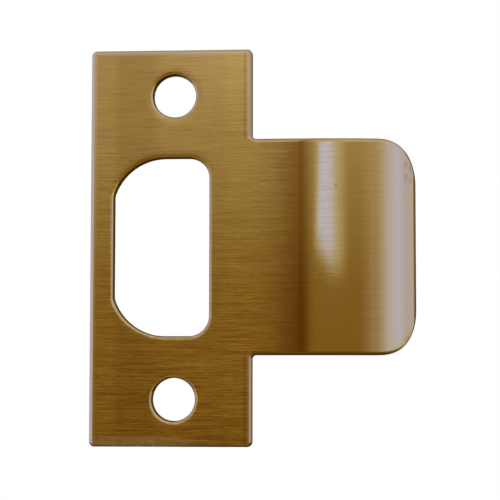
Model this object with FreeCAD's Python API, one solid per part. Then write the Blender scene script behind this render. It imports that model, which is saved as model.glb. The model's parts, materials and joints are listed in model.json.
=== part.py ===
"""A door strike plate with a curved lip: one piece of punched and pressed brass sheet.

The plate stands upright as it does on a door jamb. +Z runs up the plate, +X runs towards the lip, and the
face looks along -Y. The flat back lies on y = 0, and the origin is midway between the two screw holes.
All sizes are in millimetres.
"""
import FreeCAD
import Part
import math
import os

# Plate
plate_width = 28.575
plate_height = 69.85
sheet_thickness = 2.0
plate_corner_radius = 0.9
# the screw holes sit a little off the plate's middle line, towards the lip
hole_line_offset = 0.55

# Screw holes, each this far from its end of the plate
screw_edge_distance = 8.225
screw_hole_diameter = 7.5

# Opening for the latch bolt
latch_width = 16.8
latch_height = 31.35
latch_edge_margin = 4.2
latch_lip_side_radius = 3.6
latch_far_side_radius = 9.5
# how much the straight far side trims off its two large corner arcs, and the blend where they meet
latch_far_side_trim = 0.45
latch_trim_blend = 2.0

# Curved lip
lip_height = 38.0
lip_flat_length = 8.25
# the lip leaves the flat plate in a gentle sweep, and turns away more tightly near its end
lip_sweep_radius = 101.4
lip_sweep_degrees = 7.0
lip_turn_radius = 11.0
lip_turn_degrees = 42.0
lip_end_length = 1.95
lip_corner_radius = 7.8
lip_root_radius = 0.65

# Edges left by the punch: rolled over on the face, lightly broken on the back
outline_edge_roll = 0.7
opening_edge_roll = 0.6
back_edge_break = 0.12

# Reference places worked out from the sizes
plate_right = plate_width / 2 - hole_line_offset
plate_left = plate_right - plate_width
face_y = -sheet_thickness
screw_spacing = plate_height - 2 * screw_edge_distance
sweep_angle = math.radians(lip_sweep_degrees)
end_angle = math.radians(lip_sweep_degrees + lip_turn_degrees)
up = FreeCAD.Vector(0, 0, 1)


def along_sheet(angle):
    """The direction along the sheet towards the lip's end, where the sheet has turned by an angle."""
    return FreeCAD.Vector(math.cos(angle), math.sin(angle), 0)


def out_of_face(angle):
    """The direction straight out of the sheet's face, where the sheet has turned by an angle."""
    return FreeCAD.Vector(math.sin(angle), -math.cos(angle), 0)


# The sweep's centre lies behind the plate, and the turn's centre lies on the line where the sweep ends
sweep_start = FreeCAD.Vector(plate_right + lip_flat_length, face_y, 0)
sweep_centre = sweep_start - out_of_face(0) * lip_sweep_radius
turn_start = sweep_centre + out_of_face(sweep_angle) * lip_sweep_radius
turn_centre = turn_start - out_of_face(sweep_angle) * lip_turn_radius
turn_end = turn_centre + out_of_face(end_angle) * lip_turn_radius
lip_tip = turn_end + along_sheet(end_angle) * lip_end_length
# the sheet is bent a little too long, and its end is trimmed afterwards
trim_allowance = sheet_thickness


def arc(first, middle, last):
    """An edge along the circle through three points."""
    return Part.Arc(first, middle, last).toShape()


def line(first, last):
    """A straight edge between two points."""
    return Part.LineSegment(first, last).toShape()


def prism(edges, direction):
    """The solid swept by a closed loop of edges along a direction."""
    return Part.Face(Part.Wire(Part.__sortEdges__(edges))).extrude(direction)


def profile_line(depth):
    """The edges of the sheet's side profile at a depth below its face, and their first and last points."""
    sweep_radius = lip_sweep_radius - depth
    turn_radius = lip_turn_radius - depth
    middle_of_turn = (sweep_angle + end_angle) / 2
    start = FreeCAD.Vector(plate_left, face_y + depth, 0)
    sweep_first = sweep_centre + out_of_face(0) * sweep_radius
    sweep_middle = sweep_centre + out_of_face(sweep_angle / 2) * sweep_radius
    sweep_last = sweep_centre + out_of_face(sweep_angle) * sweep_radius
    turn_middle = turn_centre + out_of_face(middle_of_turn) * turn_radius
    turn_last = turn_centre + out_of_face(end_angle) * turn_radius
    end = turn_last + along_sheet(end_angle) * (lip_end_length + trim_allowance)
    edges = [
        line(start, sweep_first),
        arc(sweep_first, sweep_middle, sweep_last),
        arc(sweep_last, turn_middle, turn_last),
        line(turn_last, end),
    ]
    return edges, start, end


def bent_sheet():
    """The sheet's side profile, flat and then curved, swept over the whole height of the plate."""
    face_edges, face_start, face_end = profile_line(0)
    back_edges, back_start, back_end = profile_line(sheet_thickness)
    ends = [line(face_start, back_start), line(face_end, back_end)]
    solid = prism(face_edges + back_edges + ends, up * plate_height)
    solid.translate(up * (-plate_height / 2))
    return solid


def tee_outline(reach_x, reach_y):
    """The blank's T outline, deep enough to take in the whole bent sheet."""
    near_y = face_y - 1
    half_plate = plate_height / 2
    half_lip = lip_height / 2
    corners = [
        (plate_left, -half_plate),
        (plate_right, -half_plate),
        (plate_right, -half_lip),
        (reach_x, -half_lip),
        (reach_x, half_lip),
        (plate_right, half_lip),
        (plate_right, half_plate),
        (plate_left, half_plate),
    ]
    points = [FreeCAD.Vector(x, near_y, z) for x, z in corners]
    edges = [line(a, b) for a, b in zip(points, points[1:] + points[:1])]
    return prism(edges, FreeCAD.Vector(0, reach_y - near_y, 0))


def edges_through_sheet(solid, places):
    """The edges that run through the flat sheet's thickness at the given x, z places."""
    found = []
    for edge in solid.Edges:
        middle = edge.CenterOfMass
        near = any(math.hypot(middle.x - x, middle.z - z) < 1e-4 for x, z in places)
        if near and abs(edge.Length - sheet_thickness) < 1e-4:
            found.append(edge)
    return found


def lip_end_cutter():
    """What is cut off the lip's end: everything beyond a straight end with two rounded corners."""
    # the cut runs straight through the sheet midway along a corner, where it has turned by this angle
    corner_turn = (lip_corner_radius / 2 - lip_end_length) / lip_turn_radius
    corner_angle = end_angle - min(max(corner_turn, 0), end_angle - sweep_angle)
    half = lip_height / 2
    radius = lip_corner_radius
    slant = radius * math.sqrt(0.5)
    beyond = 2 * radius
    depth = radius + 2 * sheet_thickness
    start = lip_tip - out_of_face(corner_angle) * depth

    def place(reach, height):
        return start + along_sheet(corner_angle) * reach + up * height

    edges = []
    for side in (1, -1):
        tangent = place(-radius, side * half)
        middle = place(-radius + slant, side * (half - radius + slant))
        straight_end = place(0, side * (half - radius))
        edges.append(arc(tangent, middle, straight_end))
        edges.append(line(tangent, place(-radius, side * (half + beyond))))
        edges.append(line(place(-radius, side * (half + beyond)), place(beyond, side * (half + beyond))))
    edges.append(line(place(0, half - radius), place(0, radius - half)))
    edges.append(line(place(beyond, half + beyond), place(beyond, -half - beyond)))
    return prism(edges, out_of_face(corner_angle) * (2 * depth))


def latch_opening():
    """The latch opening: tight corners towards the lip, large arcs trimmed by a straight side away from it."""
    half = latch_height / 2
    left = plate_left + latch_edge_margin
    right = left + latch_width
    small = latch_lip_side_radius
    large = latch_far_side_radius
    blend = latch_trim_blend
    arc_x = left + large - latch_far_side_trim
    arc_z = half - large
    # the blend touches the straight side and lies inside the large arc
    blend_x = left + blend
    blend_rise = math.sqrt((large - blend) ** 2 - (arc_x - blend_x) ** 2)
    blend_angle = math.atan2(blend_rise, blend_x - arc_x)

    def place(x, z, side):
        return FreeCAD.Vector(x, face_y - 1, side * z)

    def on_arc(x, z, radius, angle, side):
        return place(x + radius * math.cos(angle), z + radius * math.sin(angle), side)

    edges = []
    for side in (1, -1):
        small_centre = (right - small, half - small)
        small_start = on_arc(*small_centre, small, 0, side)
        small_end = on_arc(*small_centre, small, math.pi / 2, side)
        small_middle = on_arc(*small_centre, small, math.pi / 4, side)
        large_start = on_arc(arc_x, arc_z, large, math.pi / 2, side)
        large_end = on_arc(arc_x, arc_z, large, blend_angle, side)
        large_middle = on_arc(arc_x, arc_z, large, (math.pi / 2 + blend_angle) / 2, side)
        blend_centre = (blend_x, arc_z + blend_rise)
        blend_end = on_arc(*blend_centre, blend, math.pi, side)
        blend_middle = on_arc(*blend_centre, blend, (math.pi + blend_angle) / 2, side)
        edges.append(line(place(right, 0, side), small_start))
        edges.append(arc(small_start, small_middle, small_end))
        edges.append(line(small_end, large_start))
        edges.append(arc(large_start, large_middle, large_end))
        edges.append(arc(large_end, blend_middle, blend_end))
        edges.append(line(blend_end, place(left, 0, side)))
    return prism(edges, FreeCAD.Vector(0, sheet_thickness + 2, 0))


def screw_hole(side):
    """One plain round screw hole through the plate."""
    start = FreeCAD.Vector(0, face_y - 1, side * screw_spacing / 2)
    return Part.makeCylinder(screw_hole_diameter / 2, sheet_thickness + 2, start, FreeCAD.Vector(0, 1, 0))


def turned_at(point):
    """The angle that the sheet has turned by at a point of it."""
    from_sweep = point - sweep_centre
    turned = math.atan2(from_sweep.x, -from_sweep.y)
    if turned < sweep_angle:
        return max(turned, 0)
    from_turn = point - turn_centre
    turned = math.atan2(from_turn.x, -from_turn.y)
    return min(max(turned, sweep_angle), end_angle)


def sheet_side(surface):
    """Which side of the sheet a surface is on: the face, the back, a wall through the sheet or a worn edge."""
    u_start, u_end, v_start, v_end = surface.ParameterRange
    u_middle = (u_start + u_end) / 2
    v_middle = (v_start + v_end) / 2
    point = surface.valueAt(u_middle, v_middle)
    outward = out_of_face(turned_at(point))
    lean = surface.normalAt(u_middle, v_middle).dot(outward)
    if abs(lean) > 0.9:
        return "face" if lean > 0 else "back"
    return "wall" if abs(lean) < 0.3 else "edge"


def sharp_rims(solid, side):
    """The sharp edges where one side of the sheet meets a wall."""
    sides = [(surface, sheet_side(surface)) for surface in solid.Faces]
    rims = []
    for edge in solid.Edges:
        touching = [name for surface, name in sides if any(edge.isSame(other) for other in surface.Edges)]
        if sorted(touching) == sorted([side, "wall"]):
            rims.append(edge)
    return rims


def ease_sharp_rims(solid, roll):
    """Roll the sharp rims over on the face, and break them on the back."""
    rolled = solid.makeFillet(roll, sharp_rims(solid, "face"))
    return rolled.makeChamfer(back_edge_break, sharp_rims(rolled, "back"))


# Bend the sheet, then trim it to the T outline of the blank
reach = 2 * (sheet_thickness + trim_allowance)
plate = bent_sheet().common(tee_outline(lip_tip.x + reach, lip_tip.y + reach))

# Round the plate's outer corners and the two inner corners at the root of the lip
outer_places = [(x, z * plate_height / 2) for x in (plate_left, plate_right) for z in (1, -1)]
root_places = [(plate_right, z * lip_height / 2) for z in (1, -1)]
plate = plate.makeFillet(plate_corner_radius, edges_through_sheet(plate, outer_places))
plate = plate.makeFillet(lip_root_radius, edges_through_sheet(plate, root_places))

# Trim the lip's end, then roll the edge that the blanking punch left all round the outline
plate = plate.cut(lip_end_cutter())
plate = ease_sharp_rims(plate, outline_edge_roll)

# Punch the screw holes and the latch opening, whose edges are rolled less
for side in (1, -1):
    plate = plate.cut(screw_hole(side))
plate = plate.cut(latch_opening())
plate = ease_sharp_rims(plate, opening_edge_roll)

strike_plate = plate.Solids[0]
os.makedirs("parts", exist_ok=True)
strike_plate.exportStep("parts/strike_plate.step")
box = strike_plate.BoundBox
print("strike_plate valid", strike_plate.isValid(), "solids", len(plate.Solids), "faces", len(strike_plate.Faces))
print("volume mm3", round(strike_plate.Volume, 1))
print("x", round(box.XMin, 3), round(box.XMax, 3))
print("y", round(box.YMin, 3), round(box.YMax, 3))
print("z", round(box.ZMin, 3), round(box.ZMax, 3))
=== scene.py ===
# %% [markdown]
# # A brushed brass strike plate
#
# A strike plate is screwed to the door jamb, and the latch bolt of the lock snaps into its opening. This one
# is a single piece of sheet brass: a tall flat plate with two screw holes and the latch opening, and a lip at
# its right that curves away and leads the bolt in. A maker would blank it from brushed sheet with a punch,
# which rolls the edges over on the face, then press the lip over a curved block and lacquer it.
#
# The solid already has its real shape and size. This lesson gives it a finish, a studio and a camera.

# %% Load the solid
import json
import bmesh
import bpy
from mathutils import Matrix, Vector


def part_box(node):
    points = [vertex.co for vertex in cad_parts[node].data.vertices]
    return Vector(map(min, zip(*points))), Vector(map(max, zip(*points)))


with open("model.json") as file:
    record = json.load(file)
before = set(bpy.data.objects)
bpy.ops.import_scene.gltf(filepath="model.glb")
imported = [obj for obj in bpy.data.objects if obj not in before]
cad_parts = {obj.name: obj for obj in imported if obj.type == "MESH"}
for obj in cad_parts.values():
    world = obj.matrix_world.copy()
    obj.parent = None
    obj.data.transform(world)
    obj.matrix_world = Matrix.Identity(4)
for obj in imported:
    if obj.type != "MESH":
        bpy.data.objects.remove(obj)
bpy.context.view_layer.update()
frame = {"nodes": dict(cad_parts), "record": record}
plate = frame["nodes"]["strike_plate"]
scene = bpy.context.scene
scene.view_settings.view_transform = "Standard"

# %% [markdown]
# ## Camera
#
# The plate is seen almost square on. The camera stands a little to the right of it and a little below its
# middle, about 30 cm away, so its lens is long. Its place and its turn were found by matching the plate's
# outline. They are written as a place and two directions, which are easier to check than three angles.

# %% Place the camera
camera_data = bpy.data.cameras.new("photo_camera")
camera_data.lens = 123.209
camera_data.clip_start = 0.01
camera = bpy.data.objects.new("photo_camera", camera_data)
scene.collection.objects.link(camera)
scene.camera = camera

camera_place = Vector((0.03532, -0.29916, -0.02450))
camera_forward = Vector((-0.07338, 0.99411, 0.07974)).normalized()
camera_right = Vector((0.99729, 0.07352, 0.00117)).normalized()
camera_up = camera_right.cross(camera_forward)
camera_turn = Matrix((camera_right, camera_up, -camera_forward)).transposed().to_4x4()
camera.matrix_world = Matrix.Translation(camera_place) @ camera_turn
print("camera", [round(v, 4) for v in camera.matrix_world.translation])

# %% [markdown]
# ## Small helpers for node trees
#
# A finish and a studio sky are both node trees. They could be laid out by hand in the node editor, but a
# script keeps every value in sight, and a tree is easier to read when each node is one line.

# %% Helpers that add a node and join its sockets
def add_node(tree, kind, title, **settings):
    node = tree.nodes.new(kind)
    node.label = title
    for setting, value in settings.items():
        setattr(node, setting, value)
    return node


def feed(tree, socket, source):
    """Join a socket to another node's output, or set it to a plain value."""
    if isinstance(source, bpy.types.NodeSocket):
        tree.links.new(source, socket)
    else:
        socket.default_value = source


# %% Helpers for sums
def maths(tree, title, operation, first, second=0.0):
    node = add_node(tree, "ShaderNodeMath", title, operation=operation)
    feed(tree, node.inputs[0], first)
    feed(tree, node.inputs[1], second)
    return node.outputs[0]


def product(tree, title, *values):
    """All the values multiplied together."""
    result = values[0]
    for value in values[1:]:
        result = maths(tree, title, "MULTIPLY", result, value)
    return result


def opposite(tree, title, share):
    """What is left of 1 when the share is taken away."""
    return maths(tree, title, "SUBTRACT", 1.0, share)


def square_sum(tree, title, first, second):
    first_square = maths(tree, title + ", first square", "MULTIPLY", first, first)
    second_square = maths(tree, title + ", second square", "MULTIPLY", second, second)
    return maths(tree, title, "ADD", first_square, second_square)


def length_of(tree, title, first, second):
    """Length of a slanted line that goes this far one way and this far the other."""
    return maths(tree, title, "SQRT", square_sum(tree, title + " squared", first, second))


# %% Helpers for slopes and mixes
def ease(tree, title, value, start, end, kind="SMOOTHSTEP"):
    """0 at start and 1 at end, with an eased slope between them. Start may be above end."""
    node = add_node(tree, "ShaderNodeMapRange", title, interpolation_type=kind)
    rising = start < end
    feed(tree, node.inputs["Value"], value)
    node.inputs["From Min"].default_value = start if rising else end
    node.inputs["From Max"].default_value = end if rising else start
    node.inputs["To Min"].default_value = 0.0 if rising else 1.0
    node.inputs["To Max"].default_value = 1.0 if rising else 0.0
    return node.outputs["Result"]


def mix_colour(tree, title, share, first, second, blend="MIX"):
    """A Mix node repeats its socket names for each kind, so its colour sockets are found by number."""
    node = add_node(tree, "ShaderNodeMix", title, data_type="RGBA", blend_type=blend)
    feed(tree, node.inputs[0], share)
    feed(tree, node.inputs[6], first)
    feed(tree, node.inputs[7], second)
    return node.outputs[2]


def mix_value(tree, title, share, first, second):
    """The same for plain values, whose sockets have other numbers."""
    node = add_node(tree, "ShaderNodeMix", title, data_type="FLOAT")
    feed(tree, node.inputs[0], share)
    feed(tree, node.inputs[2], first)
    feed(tree, node.inputs[3], second)
    return node.outputs[0]


def colour_of(red, green, blue):
    return (red, green, blue, 1.0)


# %% [markdown]
# ## Studio sky
#
# Polished metal shows what stands around it, so the sky does most of the work. In front of the plate the
# room is warm and dim below and bright above, with a tall lamp a little to the right. The lamp shows in the
# lip as an upright strip. Beside it the camera makes a dark band. A cool wall at the far right shows in the
# turn of the lip, and plain white walls stand at the left and behind.
#
# Real lamps and boards around the plate would do the same. A sky made of soft slopes was chosen, because each
# strip can be moved, tinted or softened by itself, and it renders with little noise. Every direction is
# written as a turn to the right of the plate's front and a rise above it, in degrees.

# %% Directions of the sky
world = bpy.data.worlds.new("studio")
scene.world = world
world.use_nodes = True
sky = world.node_tree
sky.nodes.clear()

sky_place = add_node(sky, "ShaderNodeTexCoord", "direction")
sky_axes = add_node(sky, "ShaderNodeSeparateXYZ", "direction parts")
sky.links.new(sky_place.outputs["Generated"], sky_axes.inputs[0])
to_front = maths(sky, "towards the front", "MULTIPLY", sky_axes.outputs["Y"], -1.0)
turn_right = maths(sky, "turn to the right", "ARCTAN2", sky_axes.outputs["X"], to_front)
turn = maths(sky, "turn in degrees", "DEGREES", turn_right)
rise_angle = maths(sky, "rise", "ARCSINE", sky_axes.outputs["Z"])
rise = maths(sky, "rise in degrees", "DEGREES", rise_angle)

# %% The front of the room, warm and dim below and bright above
front_stops = (
    (-10.0, (0.42, 0.30, 0.11)),
    (-2.0, (0.50, 0.35, 0.11)),
    (2.0, (0.60, 0.45, 0.18)),
    (3.3, (0.61, 0.475, 0.21)),
    (5.4, (0.735, 0.66, 0.40)),
    (8.1, (0.94, 0.92, 0.82)),
    (9.7, (1.02, 1.00, 0.95)),
    (11.2, (1.06, 1.05, 1.05)),
    (13.0, (1.15, 1.30, 2.00)),
    (15.0, (1.25, 1.50, 2.60)),
    (20.0, (1.15, 1.20, 1.40)),
)
lowest_stop = front_stops[0][0]
highest_stop = front_stops[-1][0]
rise_share = ease(sky, "place on the ramp", rise, lowest_stop, highest_stop, "LINEAR")
front_ramp = add_node(sky, "ShaderNodeValToRGB", "front of the room")
sky.links.new(rise_share, front_ramp.inputs["Fac"])
stops = front_ramp.color_ramp.elements
while len(stops) > 1:
    stops.remove(stops[-1])
for number, (degrees, colour) in enumerate(front_stops):
    position = (degrees - lowest_stop) / (highest_stop - lowest_stop)
    stop = stops[0] if number == 0 else stops.new(position)
    stop.position = position
    stop.color = colour_of(*colour)
light = front_ramp.outputs["Color"]
print("front of the room has", len(stops), "stops from", lowest_stop, "to", highest_stop, "degrees")

# %% The glow beside the lamp, high above the plate's right side
GLOW_COLOUR = colour_of(1.50, 1.60, 2.00)
GLOW_SHARE = 0.6
glow_turn = ease(sky, "glow turn", turn, -8.0, -4.8)
glow_rise = ease(sky, "glow rise", rise, 8.5, 11.8)
glow = product(sky, "glow", glow_turn, glow_rise, GLOW_SHARE)
light = mix_colour(sky, "glow over the front", glow, light, GLOW_COLOUR)

# %% The dark band where the camera stands
BAND_TINT = colour_of(0.52, 0.36, 0.18)
LOW_BAND_TINT = colour_of(0.84, 0.78, 0.72)
band_left = ease(sky, "band left side", turn, -3.8, -2.3)
band_right = ease(sky, "band right side", turn, 0.9, -1.0)
band = product(sky, "dark band", band_left, band_right)
light = mix_colour(sky, "band over the front", band, light, BAND_TINT, "MULTIPLY")
band_low = ease(sky, "band is deeper low down", rise, 6.0, 2.0)
low_band = product(sky, "low part of the band", band, band_low)
light = mix_colour(sky, "low band over the front", low_band, light, LOW_BAND_TINT, "MULTIPLY")

# %% The form of the tall lamp: its foot slants down to the right and its left side leans
LAMP_SLANT = 0.22
SLANT_END = 4.6
LAMP_LEAN = -0.14
LEAN_MIDDLE = 5.1
slant_turn = maths(sky, "turn until the slant ends", "MINIMUM", turn, SLANT_END)
lamp_slant = maths(sky, "lamp slant", "MULTIPLY", slant_turn, LAMP_SLANT)
lamp_rise = maths(sky, "rise above the slant", "ADD", rise, lamp_slant)
lean_rise = maths(sky, "rise above the middle of the lean", "SUBTRACT", rise, LEAN_MIDDLE)
left_lean = maths(sky, "lean of the left side", "MULTIPLY", lean_rise, LAMP_LEAN)
left_turn = maths(sky, "turn from the leaning side", "ADD", turn, left_lean)
lamp_top = ease(sky, "lamp top", rise, 40.0, 25.0)


def lamp_share(title, left, right, foot):
    """1 inside an upright lamp and 0 outside it, from soft left, right and lower sides."""
    from_left = ease(sky, title + " left side", left_turn, *left)
    from_right = ease(sky, title + " right side", turn, *right)
    from_foot = ease(sky, title + " foot", lamp_rise, *foot)
    return product(sky, title, from_left, from_right, from_foot, lamp_top)


# %% The light of the tall lamp: a golden halo around a cool core
HALO_COLOUR = colour_of(1.27, 1.46, 1.75)
CORE_COLOUR = colour_of(1.46, 2.06, 6.8)
halo = lamp_share("lamp halo", left=(0.3, 1.6), right=(9.2, 5.9), foot=(4.72, 5.15))
core = lamp_share("lamp core", left=(1.35, 2.0), right=(6.5, 4.1), foot=(5.25, 5.48))
light = mix_colour(sky, "halo over the front", halo, light, HALO_COLOUR)
light = mix_colour(sky, "core over the halo", core, light, CORE_COLOUR)

# %% The cool wall at the right, which begins with a step beside the lamp
COOL_COLOUR = colour_of(1.26, 1.46, 2.10)
SIDE_COLOUR = colour_of(1.13, 1.22, 1.36)
STEP_SHARE = 0.36
cool_step = ease(sky, "step of the cool wall", turn, 10.8, 13.2)
cool_slope = ease(sky, "slope of the cool wall", turn, 18.0, 52.0)
cool = mix_value(sky, "cool wall", STEP_SHARE, cool_slope, cool_step)
light = mix_colour(sky, "cool wall over the front", cool, light, COOL_COLOUR)
side = ease(sky, "side wall", turn, 66.0, 90.0)
light = mix_colour(sky, "side wall over the cool wall", side, light, SIDE_COLOUR)

# %% White walls at the left and behind, and the pale floor below
WHITE = colour_of(1.0, 1.0, 1.0)
GROUND_COLOUR = colour_of(0.47, 0.37, 0.21)
left_wall = ease(sky, "left wall", turn, -11.5, -26.0)
back_wall = ease(sky, "back wall", turn, 100.0, 130.0)
white_walls = maths(sky, "white walls", "MAXIMUM", left_wall, back_wall)
light = mix_colour(sky, "white walls over the front", white_walls, light, WHITE)
ground = ease(sky, "ground", rise, -9.0, -30.0)
light = mix_colour(sky, "ground under the walls", ground, light, GROUND_COLOUR)

# %% What the camera and the floor see
studio = add_node(sky, "ShaderNodeBackground", "studio")
sky.links.new(light, studio.inputs["Color"])
backdrop = add_node(sky, "ShaderNodeBackground", "white backdrop")
backdrop.inputs["Color"].default_value = WHITE
ray = add_node(sky, "ShaderNodeLightPath", "kind of ray")
from_camera = ray.outputs["Is Camera Ray"]
from_floor = ray.outputs["Is Diffuse Ray"]
plain_ray = maths(sky, "camera or floor", "MAXIMUM", from_camera, from_floor)
choose = add_node(sky, "ShaderNodeMixShader", "backdrop or studio")
sky.links.new(plain_ray, choose.inputs[0])
sky.links.new(studio.outputs[0], choose.inputs[1])
sky.links.new(backdrop.outputs[0], choose.inputs[2])
sky_out = add_node(sky, "ShaderNodeOutputWorld", "sky")
sky.links.new(choose.outputs[0], sky_out.inputs["Surface"])
print("studio sky has", len(sky.nodes), "nodes")

# %% [markdown]
# ## Pale floor and a soft lamp overhead
#
# The plate hangs in the air as it does on a jamb, so the floor lies well below it and only shows from above.
# A wide lamp overhead lays a soft shadow on it. Neither shows in the metal, because the sky already holds
# everything that the plate reflects.

# %% Make the floor
FLOOR_HEIGHT = -0.10
FLOOR_HALF = 0.8
floor_mesh = bpy.data.meshes.new("floor")
floor_form = bmesh.new()
bmesh.ops.create_grid(floor_form, x_segments=1, y_segments=1, size=FLOOR_HALF)
floor_form.to_mesh(floor_mesh)
floor_form.free()
floor = bpy.data.objects.new("floor", floor_mesh)
floor.location = (0.0, 0.0, FLOOR_HEIGHT)
scene.collection.objects.link(floor)

pale = bpy.data.materials.new("pale_floor")
pale.use_nodes = True
pale_shader = pale.node_tree.nodes["Principled BSDF"]
pale_shader.inputs["Base Color"].default_value = colour_of(0.82, 0.82, 0.82)
pale_shader.inputs["Roughness"].default_value = 0.8
pale_shader.inputs["Specular IOR Level"].default_value = 0.0
floor_mesh.materials.append(pale)
floor.visible_glossy = False

# %% Hang the lamp
lamp_data = bpy.data.lights.new("overhead_lamp", "AREA")
lamp_data.energy = 1.8
lamp_data.size = 0.20
overhead = bpy.data.objects.new("overhead_lamp", lamp_data)
overhead.location = (-0.18, -0.25, 0.65)
aim = (Vector((0.0, 0.0, FLOOR_HEIGHT)) - overhead.location).normalized()
overhead.rotation_euler = aim.to_track_quat("-Z", "Y").to_euler()
overhead.visible_glossy = False
scene.collection.objects.link(overhead)
print("floor at", FLOOR_HEIGHT, "m, lamp at", [round(v, 2) for v in overhead.location])

# %% [markdown]
# ## The finish: where on the plate
#
# The finish changes from the face to its rims, to the walls through the sheet and to the back. On a real
# plate they have different histories. The face was brushed and lacquered, the rims were rolled by the punch
# and then rubbed, and the walls were torn and have gone brown. Light and shade are painted into the colour as
# well. The rims that face down, the very edge, the right rim, the lip's tip, the walls inside the openings
# and a column of the face get painted shade. The pale rims, the bands near the edges and the turn of the lip
# get a painted reflection of the bright walls on top of their wear.
#
# A material for each group of faces would leave hard borders. One material is used instead, which asks where
# a point lies and which way the surface faces there. Its borders are soft, and the mesh stays as it is.

# %% Start the finish, with places in millimetres
MILLIMETRES = 1000.0
brass = bpy.data.materials.new("brushed_brass")
brass.use_nodes = True
tree = brass.node_tree
shader = tree.nodes["Principled BSDF"]
place = add_node(tree, "ShaderNodeTexCoord", "place on the plate")
scaled_place = add_node(tree, "ShaderNodeVectorMath", "place in millimetres", operation="SCALE")
scaled_place.inputs["Scale"].default_value = MILLIMETRES
tree.links.new(place.outputs["Object"], scaled_place.inputs[0])
place_axes = add_node(tree, "ShaderNodeSeparateXYZ", "place parts")
tree.links.new(scaled_place.outputs["Vector"], place_axes.inputs[0])
place_x, place_z = (place_axes.outputs[axis] for axis in "XZ")
height = maths(tree, "height from the middle", "ABSOLUTE", place_z)
facing_axes = add_node(tree, "ShaderNodeSeparateXYZ", "which way the surface faces")
tree.links.new(place.outputs["Normal"], facing_axes.inputs[0])
facing_x, facing_y, facing_z = (facing_axes.outputs[axis] for axis in "XYZ")

# %% Edges of the plate, from the frame
PLATE_WIDTH = 28.575
LIP_HALF = 19.0
low_corner, high_corner = (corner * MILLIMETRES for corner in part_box("strike_plate"))
plate_left = low_corner.x
plate_right = plate_left + PLATE_WIDTH
plate_top = high_corner.z
lip_tip = high_corner.x
print("plate from", round(plate_left, 2), "to", round(plate_right, 2), "mm, lip to", round(lip_tip, 2), "mm")

# %% Which parts are the lip, the openings, the walls and the back
on_lip = ease(tree, "on the lip", place_x, plate_right + 0.26, plate_right + 2.26)
off_lip = opposite(tree, "off the lip", on_lip)
right_of_edge = ease(tree, "right of the left edge", place_x, plate_left + 1.84, plate_left + 2.44)
left_of_lip = ease(tree, "left of the lip", place_x, plate_right - 4.74, plate_right - 5.74)
off_ends = ease(tree, "off the ends", height, plate_top - 1.93, plate_top - 2.93)
at_openings = product(tree, "around the openings", right_of_edge, left_of_lip, off_ends)
facing_size = maths(tree, "size of the front facing", "ABSOLUTE", facing_y)
wall = ease(tree, "wall through the sheet", facing_size, 0.42, 0.14)
back = ease(tree, "back of the sheet", facing_y, 0.35, 0.75)


def by_part(title, outer, opening, lip):
    """One value for the plate's outer rims, one around the openings and one on the lip."""
    on_plate = mix_value(tree, title + " on the plate", at_openings, outer, opening)
    return mix_value(tree, title, on_lip, on_plate, lip)


# %% How far a rim leans over, and in which direction
lean_side = maths(tree, "sideways lean off the lip", "MULTIPLY", facing_x, off_lip)
lean_down = maths(tree, "downward lean", "MULTIPLY", facing_z, -1.0)
lean = length_of(tree, "lean of the rim", lean_side, lean_down)
lean_angle = maths(tree, "direction of the lean", "ARCTAN2", lean_side, lean_down)
lean_turn = maths(tree, "direction in degrees", "DEGREES", lean_angle)
faces_left = ease(tree, "faces left", lean_side, -0.04, -0.20)
faces_right = ease(tree, "faces right", lean_side, 0.04, 0.20)

# %% Rims that face down stay in shade
shade_start = ease(tree, "start of the shaded rims", lean_turn, -45.0, -10.0)
shade_end = ease(tree, "end of the shaded rims", lean_turn, 89.0, 72.0)
faces_down = product(tree, "faces down", shade_start, shade_end)
outer_shade = ease(tree, "lean of a shaded outer rim", lean, 0.28, 1.0)
opening_shade = ease(tree, "lean of a shaded opening's rim", lean, 0.32, 1.0)
lip_shade = ease(tree, "lean of a shaded rim of the lip", lean, 0.06, 0.60)
shaded_lean = by_part("lean of a shaded rim", outer_shade, opening_shade, lip_shade)
shade_share = by_part("share of the shade", outer=1.0, opening=0.12, lip=0.75)
shaded = product(tree, "shaded rim", faces_down, shaded_lean, shade_share)

# %% The other rims are painted pale, partly as rubbed wear and partly as a painted reflection of the bright walls, less at the right and on the lip
faces_up = opposite(tree, "faces up", faces_down)
wide_lean = ease(tree, "lean of a wide rim", lean, 0.04, 0.40)
narrow_lean = ease(tree, "lean of a narrow rim", lean, 0.24, 0.70)
outer_lean = mix_value(tree, "rub is narrow at the right", faces_right, wide_lean, narrow_lean)
opening_lean = ease(tree, "lean of an opening's rim", lean, 0.16, 0.56)
rub_and_reflection_lean = by_part("lean of a rubbed rim", outer_lean, opening_lean, lip=outer_lean)
outer_share = mix_value(tree, "rub is softer at the right", faces_right, 1.0, 0.70)
upper_end = ease(tree, "upper end of the plate", place_z, 18.0, 22.0)
opening_share = mix_value(tree, "rub in the openings", upper_end, 0.60, 0.95)
rub_and_reflection_share = by_part("share of the rub", outer_share, opening_share, lip=0.24)
rub_and_reflection = product(tree, "rubbed rim", faces_up, rub_and_reflection_lean, rub_and_reflection_share)

# %% A dark line of painted shade at the very edge, the right rim darkened as painted shade, and the upper rims of the openings lifted with painted light
outer_line = ease(tree, "line at the outer edge", lean, 0.76, 0.92)
opening_line = ease(tree, "line at an opening's edge", lean, 0.64, 0.86)
any_line = mix_value(tree, "line at any edge", at_openings, outer_line, opening_line)
not_left = opposite(tree, "does not face left", faces_left)
shaded_edge_line = product(tree, "dark line at the edge", any_line, not_left)
off_openings = opposite(tree, "away from the openings", at_openings)
shaded_right_rim = product(tree, "right rim", faces_right, off_openings)
# painted light: the upper rims of the openings are lifted where their reflected shade is too deep
soft_start = ease(tree, "start of a soft upper rim", lean, 0.08, 0.30)
soft_end = ease(tree, "end of a soft upper rim", lean, 0.95, 0.60)
lit_upper_rim = product(tree, "soft upper rim of an opening", faces_down, at_openings, soft_start, soft_end)
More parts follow.
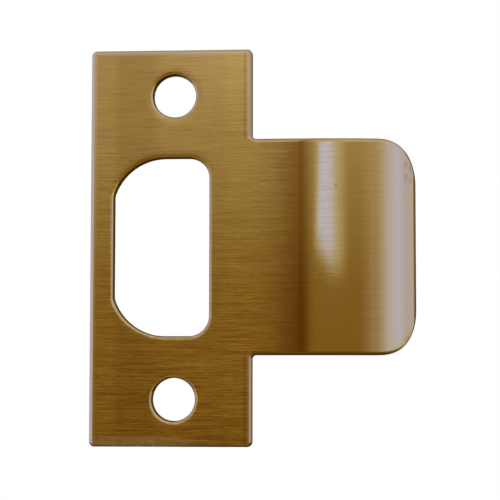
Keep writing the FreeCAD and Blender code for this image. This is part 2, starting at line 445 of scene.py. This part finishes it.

# %% The lip's tip, darkened with painted shade, and its turn, which the latch bolt wears and which is painted pale as a reflection of the bright wall
WEAR_AND_REFLECTION_SHARE = 0.55
tip_lean = ease(tree, "rim at the lip's tip", facing_x, 0.765, 0.81)
tip_line = ease(tree, "line beside the tip", place_x, lip_tip - 0.57, lip_tip - 0.22)
tip_edge = maths(tree, "rim and line at the tip", "MAXIMUM", tip_lean, tip_line)
tip = product(tree, "lip's tip", tip_edge, on_lip)
# the turn of the lip is painted pale, partly wear from the latch bolt and partly a painted reflection of the
# bright wall
turn_lean = ease(tree, "turn of the lip", facing_x, 0.20, 0.62)
lip_wear_and_reflection = product(tree, "wear on the lip", turn_lean, on_lip, WEAR_AND_REFLECTION_SHARE)
print("parts and rims are told apart by", len(tree.nodes), "nodes")

# %% [markdown]
# ## The finish: brush lines and tone
#
# The face was brushed straight across with an abrasive belt, so its lines are long, thin and level. A wave
# texture would repeat them too evenly. Noise that is stretched along X was chosen instead: the fine set gives
# the grain, and the long set gives lines that run over most of the plate.

# %% Brush lines
def stretched_noise(title, scale, detail, roughness):
    """Noise that is drawn out along the axes with a small scale. The scale counts per metre."""
    stretch = add_node(tree, "ShaderNodeMapping", title + " stretch")
    stretch.inputs["Scale"].default_value = scale
    tree.links.new(place.outputs["Object"], stretch.inputs["Vector"])
    noise = add_node(tree, "ShaderNodeTexNoise", title)
    noise.inputs["Scale"].default_value = 1.0
    noise.inputs["Detail"].default_value = detail
    noise.inputs["Roughness"].default_value = roughness
    tree.links.new(stretch.outputs["Vector"], noise.inputs["Vector"])
    return noise.outputs["Fac"]


fine_lines = stretched_noise("fine brush lines", (600.0, 600.0, 9200.0), 3.0, 0.65)
long_lines = stretched_noise("long brush lines", (130.0, 130.0, 6400.0), 2.0, 0.5)
lines = maths(tree, "both sets of lines", "ADD", fine_lines, long_lines)

# %% Contrast of the lines, which are cut deeper towards the lower end and fade along the lip
MIDDLE_OF_LINES = 1.0
MIDDLE_TONE = 0.5
low_end = ease(tree, "towards the lower end", place_z, 25.0, -30.0, "LINEAR")
plate_contrast = mix_value(tree, "contrast on the plate", low_end, 0.50, 1.75)
along_lip = ease(tree, "along the lip", place_x, plate_right + 5.26, plate_right + 10.26)
lip_contrast = mix_value(tree, "contrast on the lip", along_lip, 0.82, 0.30)
line_contrast = mix_value(tree, "contrast of the lines", on_lip, plate_contrast, lip_contrast)
from_middle = maths(tree, "height of a line", "SUBTRACT", lines, MIDDLE_OF_LINES)
deep_line = maths(tree, "line with its contrast", "MULTIPLY", from_middle, line_contrast)
line_tone = maths(tree, "line tone", "ADD", deep_line, MIDDLE_TONE)

# %% Brass tone, with a column left of the middle darkened by painted shade and one at the right lightened by a painted highlight, where the sheet reflects darker and lighter
DARK_BRASS = colour_of(0.186, 0.072, 0.000)
LIGHT_BRASS = colour_of(0.441, 0.296, 0.070)
COLUMN_SHADE_TINT = colour_of(0.85, 0.83, 0.64)
COLUMN_HIGHLIGHT_TINT = colour_of(1.06, 1.09, 1.0)
colour = mix_colour(tree, "brass tone", line_tone, DARK_BRASS, LIGHT_BRASS)
column_left = ease(tree, "dull column left side", place_x, plate_left + 3.64, plate_left + 5.64)
column_right = ease(tree, "dull column right side", place_x, -1.0, -5.0)
column = product(tree, "dull column", column_left, column_right)
colour = mix_colour(tree, "dull column tone", column, colour, COLUMN_SHADE_TINT, "MULTIPLY")
bright_left = ease(tree, "bright column left side", place_x, plate_right - 5.74, plate_right - 3.74)
highlight_column = product(tree, "bright column", bright_left, off_lip)
colour = mix_colour(tree, "bright column tone", highlight_column, colour, COLUMN_HIGHLIGHT_TINT, "MULTIPLY")
print("brush lines and tone bring the finish to", len(tree.nodes), "nodes")

# %% [markdown]
# ## The finish: rims, walls, back and marks of use
#
# Wear shows first where a door touches the plate. The turn of the lip is rubbed by the latch bolt, and its
# pale colour also stands for a painted reflection of the bright wall. The lower edge has been scuffed, and a
# few brown spots have come through the lacquer. Marks could be painted on a picture, but soft ovals that
# noise breaks up stay sharp from close by, and each keeps a place of its own.

# %% The face just inside the rims: pale bands near the edges, partly rubbed wear and partly a painted reflection of the bright walls, and a thin line of painted shade at the right
TOP_WEAR_AND_REFLECTION = 0.5
LEFT_WEAR_AND_REFLECTION = 0.75
SHADE_LINE_SHARE = 0.6
beside_lip = ease(tree, "above and below the lip", height, LIP_HALF - 0.4, LIP_HALF + 0.2)
near_top = ease(tree, "near the top edge", place_z, plate_top - 1.22, plate_top - 0.62)
near_left = ease(tree, "near the left edge", place_x, plate_left + 1.44, plate_left + 0.54)
near_right = ease(tree, "near the right edge", place_x, plate_right - 1.09, plate_right - 0.64)
near_right = product(tree, "near the right edge, beside the lip", near_right, beside_lip)
near_edge = maths(tree, "near the top or right", "MAXIMUM", near_top, near_right)
edge_wear_and_reflection = product(tree, "rub near the top and right", near_edge, TOP_WEAR_AND_REFLECTION)
left_wear_and_reflection = product(tree, "rub near the left", near_left, LEFT_WEAR_AND_REFLECTION)
edge_wear_and_reflection = maths(tree, "rub near the edges", "MAXIMUM", edge_wear_and_reflection, left_wear_and_reflection)
# painted shade: a thin darker line just inside the right edge, beside the lip
line_rise = ease(tree, "pressure line left side", place_x, plate_right - 1.74, plate_right - 1.24)
line_fall = ease(tree, "pressure line right side", place_x, plate_right - 0.84, plate_right - 1.24)
painted_shade = product(tree, "pressure line", line_rise, line_fall, beside_lip, SHADE_LINE_SHARE)

# %% Pale tones where the face and the rims are rubbed, which also stand for a painted reflection of the bright walls
PALE_COOL_WEAR_AND_REFLECTION = colour_of(0.46, 0.385, 0.38)
PALE_WARM_WEAR_AND_REFLECTION = colour_of(0.38, 0.28, 0.16)
WORN_AND_REFLECTING_LIP = colour_of(0.39, 0.325, 0.30)
SHADE_LINE_TINT = colour_of(0.62, 0.56, 0.40)
rim_wear_and_reflection_tone = mix_colour(tree, "rim tone", faces_left, PALE_WARM_WEAR_AND_REFLECTION, PALE_COOL_WEAR_AND_REFLECTION)
# painted shade line near the right edge
colour = mix_colour(tree, "pressure line tone", painted_shade, colour, SHADE_LINE_TINT, "MULTIPLY")
# pale bands near the edges: wear and a painted reflection
colour = mix_colour(tree, "rubbed edges", edge_wear_and_reflection, colour, PALE_WARM_WEAR_AND_REFLECTION)
# wear and painted reflection on the lip's turn
colour = mix_colour(tree, "worn lip", lip_wear_and_reflection, colour, WORN_AND_REFLECTING_LIP)
# rims painted pale: wear and a painted reflection, cool where they face the left wall
colour = mix_colour(tree, "rubbed rims", rub_and_reflection, colour, rim_wear_and_reflection_tone)

# %% Painted shade on the right rim, on the rims that face down, along the very edge and on the lip's tip, and painted light that lifts the upper rims of the openings
RIGHT_SHADE_TINT = colour_of(0.82, 0.76, 0.68)
PAINTED_LIGHT_TINT = colour_of(1.40, 1.45, 1.30)
SHADED_BRASS = colour_of(0.095, 0.046, 0.006)
EDGE_SHADE_BRASS = colour_of(0.09, 0.052, 0.008)
TIP_SHADE_BRASS = colour_of(0.10, 0.056, 0.007)
# painted shade on the right rim
colour = mix_colour(tree, "right rim tone", shaded_right_rim, colour, RIGHT_SHADE_TINT, "MULTIPLY")
# painted light on the upper rims of the openings
colour = mix_colour(tree, "soft rim tone", lit_upper_rim, colour, PAINTED_LIGHT_TINT, "MULTIPLY")
colour = mix_colour(tree, "shaded rims", shaded, colour, SHADED_BRASS)
# painted shade along the very edge
colour = mix_colour(tree, "dark edge line", shaded_edge_line, colour, EDGE_SHADE_BRASS)
# painted shade on the lip's tip
colour = mix_colour(tree, "tip of the lip", tip, colour, TIP_SHADE_BRASS)

# %% Soft ovals for marks on the face
def spot(title, middle_x, middle_z, half_wide, half_tall):
    """1 in the middle of a soft oval on the face and 0 outside it. Sizes are in millimetres."""
    from_x = maths(tree, title + " x", "SUBTRACT", place_x, middle_x)
    from_z = maths(tree, title + " z", "SUBTRACT", place_z, middle_z)
    wide = maths(tree, title + " wide", "DIVIDE", from_x, half_wide)
    tall = maths(tree, title + " tall", "DIVIDE", from_z, half_tall)
    reach = square_sum(tree, title + " reach", wide, tall)
    return ease(tree, title, reach, 1.0, 0.2)


def join_spots(title, places):
    joined = spot(title, *places[0])
    for each in places[1:]:
        joined = maths(tree, title + " joined", "MAXIMUM", joined, spot(title, *each))
    return joined


# %% A row of scuffs along the lower edge, broken up by noise, and one scratch
SCUFFED_BRASS = colour_of(0.44, 0.36, 0.26)
SCRATCH_SHARE = 0.5
scuff_noise = stretched_noise("scuff noise", (1000.0, 1000.0, 2200.0), 4.0, 0.7)
scuff_patches = ease(tree, "scuff patches", scuff_noise, 0.50, 0.62)
scuff_strength = mix_value(tree, "scuff strength", scuff_patches, 0.38, 0.90)
scuff_row = spot("row of scuffs", -5.6, -34.0, 12.8, 1.2)
scuffs = product(tree, "scuffs", scuff_row, scuff_strength)
scratch = product(tree, "scratch", spot("scratch", -12.73, 1.9, 0.09, 1.10), SCRATCH_SHARE)
scuffs = maths(tree, "scuffs and scratch", "MAXIMUM", scuffs, scratch)
colour = mix_colour(tree, "scuffed metal", scuffs, colour, SCUFFED_BRASS)

# %% The lip's lower corner, where the brass shows warm
WARM_BRASS = colour_of(0.34, 0.235, 0.075)
WARM_SHARE = 0.75
warm_low = ((38.9, -18.1, 1.9, 1.1), (39.8, -17.6, 1.7, 1.2))
warm_high = ((40.6, -16.9, 1.4, 1.5), (41.3, -16.0, 1.0, 1.8))
warm_corner = join_spots("warm corner", warm_low + warm_high)
warm_share = product(tree, "share of the warm corner", warm_corner, WARM_SHARE)
colour = mix_colour(tree, "warm corner tone", warm_share, colour, WARM_BRASS)

# %% Brown smudges near the lip's tip and one speck
SMUDGE_BROWN = colour_of(0.17, 0.10, 0.025)
SMUDGE_SHARE = 0.36
SPECK_SHARE = 0.75
smudge_noise = stretched_noise("smudge noise", (1300.0, 1300.0, 900.0), 3.0, 0.6)
smudge_patches = ease(tree, "smudge patches", smudge_noise, 0.47, 0.60)
smudge_areas = join_spots("smudge", ((41.0, 13.4, 1.0, 4.2), (41.0, -16.6, 1.0, 1.4)))
smudges = product(tree, "smudges", smudge_areas, smudge_patches, SMUDGE_SHARE)
speck = product(tree, "speck", spot("speck", 28.4, 10.65, 0.28, 0.28), SPECK_SHARE)
smudges = maths(tree, "smudges and speck", "MAXIMUM", smudges, speck)
colour = mix_colour(tree, "brown smudges", smudges, colour, SMUDGE_BROWN)

# %% Walls with streaks from the punch, painted darker inside the openings as shade
INNER_DARK = colour_of(0.046, 0.022, 0.003)
INNER_LIGHT = colour_of(0.080, 0.039, 0.006)
OUTER_DARK = colour_of(0.085, 0.046, 0.007)
OUTER_LIGHT = colour_of(0.125, 0.070, 0.011)
streaks = stretched_noise("punch streaks", (2400.0, 150.0, 2400.0), 2.0, 0.5)
streak_tone = ease(tree, "streak tone", streaks, 0.35, 0.65)
shaded_inner_wall = mix_colour(tree, "walls of the openings", streak_tone, INNER_DARK, INNER_LIGHT)
outer_wall = mix_colour(tree, "outer walls", streak_tone, OUTER_DARK, OUTER_LIGHT)
wall_tone = mix_colour(tree, "wall tone", at_openings, outer_wall, shaded_inner_wall)
colour = mix_colour(tree, "walls", wall, colour, wall_tone)

# %% The back, with rolling marks along the sheet and tarnish
DARK_BACK = colour_of(0.180, 0.110, 0.024)
LIGHT_BACK = colour_of(0.240, 0.151, 0.036)
rolling = stretched_noise("rolling marks", (6500.0, 6500.0, 110.0), 2.0, 0.5)
tarnish = stretched_noise("tarnish", (75.0, 75.0, 75.0), 3.0, 0.5)
back_marks = maths(tree, "marks on the back", "ADD", rolling, tarnish)
back_share = ease(tree, "share of the marks", back_marks, 0.65, 1.35)
back_tone = mix_colour(tree, "back tone", back_share, DARK_BACK, LIGHT_BACK)
colour = mix_colour(tree, "back", back, colour, back_tone)
print("rims, marks, walls and back bring the finish to", len(tree.nodes), "nodes")

# %% [markdown]
# ## The finish: gloss and relief
#
# Lacquered brass is nearly a mirror across its brush lines, so the face is glossy and some lines are duller
# than others. The punch also draws the metal down around the screw holes and the latch opening, which leaves
# a shallow dish there. The dishes are a few hundredths of a millimetre deep and the lines less, too little
# to change an outline, so relief in the finish is enough for both.

# %% Gloss of each part
gloss = mix_value(tree, "gloss of the lines", line_tone, 0.095, 0.040)
lip_polish = mix_value(tree, "the lip is polished more", on_lip, 1.0, 0.65)
gloss = product(tree, "gloss of the face", gloss, lip_polish)
gloss = mix_value(tree, "gloss of the rims", rub_and_reflection, gloss, 0.22)
gloss = mix_value(tree, "gloss of the walls", wall, gloss, 0.60)
back_gloss = mix_value(tree, "gloss of the marks", back_share, 0.42, 0.28)
gloss = mix_value(tree, "gloss of the back", back, gloss, back_gloss)

# %% Lacquer, thinner along the dark lines and worn off the rims
worn_rim = ease(tree, "lacquer worn off the rims", lean, 0.10, 0.45)
bare = maths(tree, "bare wall or back", "MAXIMUM", wall, back)
bare = maths(tree, "bare tip too", "MAXIMUM", bare, tip)
bare = maths(tree, "bare metal", "MAXIMUM", bare, worn_rim)
covered = opposite(tree, "lacquered metal", bare)
lacquer_lines = mix_value(tree, "lacquer along the lines", line_tone, 0.40, 1.0)
lacquer = product(tree, "lacquer", covered, lacquer_lines)

# %% Distance from the latch opening, whose left corners are large arcs and whose right ones are small
LATCH_LEFT = -10.638
LATCH_RIGHT = 6.162
LATCH_HALF = 15.675
LARGE_ARC = 9.5
SMALL_ARC = 3.6
ARC_TRIM = 0.45


def from_corner(title, beside, beyond, radius):
    """Distance outside a rounded corner, for a place that lies beside and beyond the corner's centre."""
    wide = maths(tree, title + " beside", "MAXIMUM", beside, 0.0)
    tall = maths(tree, title + " beyond", "MAXIMUM", beyond, 0.0)
    reach = length_of(tree, title + " reach", wide, tall)
    return maths(tree, title, "SUBTRACT", reach, radius)


large_centre = LATCH_LEFT - ARC_TRIM + LARGE_ARC
small_centre = LATCH_RIGHT - SMALL_ARC
left_of_arc = maths(tree, "left of the large arc", "SUBTRACT", large_centre, place_x)
above_large = maths(tree, "above the large arc", "SUBTRACT", height, LATCH_HALF - LARGE_ARC)
right_of_arc = maths(tree, "right of the small arc", "SUBTRACT", place_x, small_centre)
above_small = maths(tree, "above the small arc", "SUBTRACT", height, LATCH_HALF - SMALL_ARC)
from_large = from_corner("distance from the large arc", left_of_arc, above_large, LARGE_ARC)
from_small = from_corner("distance from the small arc", right_of_arc, above_small, SMALL_ARC)
from_side = maths(tree, "distance from the left side", "SUBTRACT", LATCH_LEFT, place_x)
from_latch = maths(tree, "distance from either arc", "MAXIMUM", from_large, from_small)
from_latch = maths(tree, "distance from the latch opening", "MAXIMUM", from_latch, from_side)

# %% Distance from the screw holes, whose place and size come from the frame
mounts = {mount["name"]: mount for mount in frame["record"]["mounts"]}
hole_sizes = mounts["screw_holes"]["dims"]
screw_height = hole_sizes["spacing_y_mm"] / 2
hole_radius = hole_sizes["hole_r_mm"]
screw_rise = maths(tree, "height above the hole", "SUBTRACT", height, screw_height)
hole_distance = length_of(tree, "distance from the hole", screw_rise, place_x)
from_hole = maths(tree, "distance from its edge", "SUBTRACT", hole_distance, hole_radius)
print("screw holes", hole_radius * 2, "mm wide,", screw_height, "mm above and below the middle")

# %% Shallow dishes around the screw holes, and a shallower one around the latch opening
DISH_WIDTH = 1.6
LATCH_SHARE = 0.8
hole_fall = ease(tree, "fall into a hole's dish", from_hole, DISH_WIDTH, 0.0, "LINEAR")
latch_fall = ease(tree, "fall into the latch's dish", from_latch, DISH_WIDTH, 0.0, "LINEAR")
hole_dish = product(tree, "hole's dish", hole_fall, hole_fall)
latch_dish = product(tree, "latch's dish", latch_fall, latch_fall, LATCH_SHARE)
dishes = maths(tree, "all the dishes", "MAXIMUM", hole_dish, latch_dish)
dished_face = opposite(tree, "height of the dished face", dishes)

# %% Relief of the dishes and the lines
DISH_DEPTH = 0.045
LINE_DEPTH = 0.005
LINE_STRENGTH = 0.16


def relief(title, surface, depth, strength):
    bump = add_node(tree, "ShaderNodeBump", title)
    bump.inputs["Strength"].default_value = strength
    bump.inputs["Distance"].default_value = depth / MILLIMETRES
    tree.links.new(surface, bump.inputs["Height"])
    return bump


dish_relief = relief("dish relief", dished_face, DISH_DEPTH, 1.0)
line_relief = relief("brush relief", lines, LINE_DEPTH, LINE_STRENGTH)
tree.links.new(dish_relief.outputs["Normal"], line_relief.inputs["Normal"])

# %% Join the finish to its shader and lay it on the plate
tree.links.new(colour, shader.inputs["Base Color"])
tree.links.new(gloss, shader.inputs["Roughness"])
tree.links.new(lacquer, shader.inputs["Coat Weight"])
tree.links.new(line_relief.outputs["Normal"], shader.inputs["Normal"])
shader.inputs["Metallic"].default_value = 1.0
shader.inputs["Specular Tint"].default_value = colour_of(0.60, 0.45, 0.25)
shader.inputs["Coat Roughness"].default_value = 0.05
shader.inputs["Coat IOR"].default_value = 1.5
plate.data.materials.clear()
plate.data.materials.append(brass)
print("finish has", len(tree.nodes), "nodes")
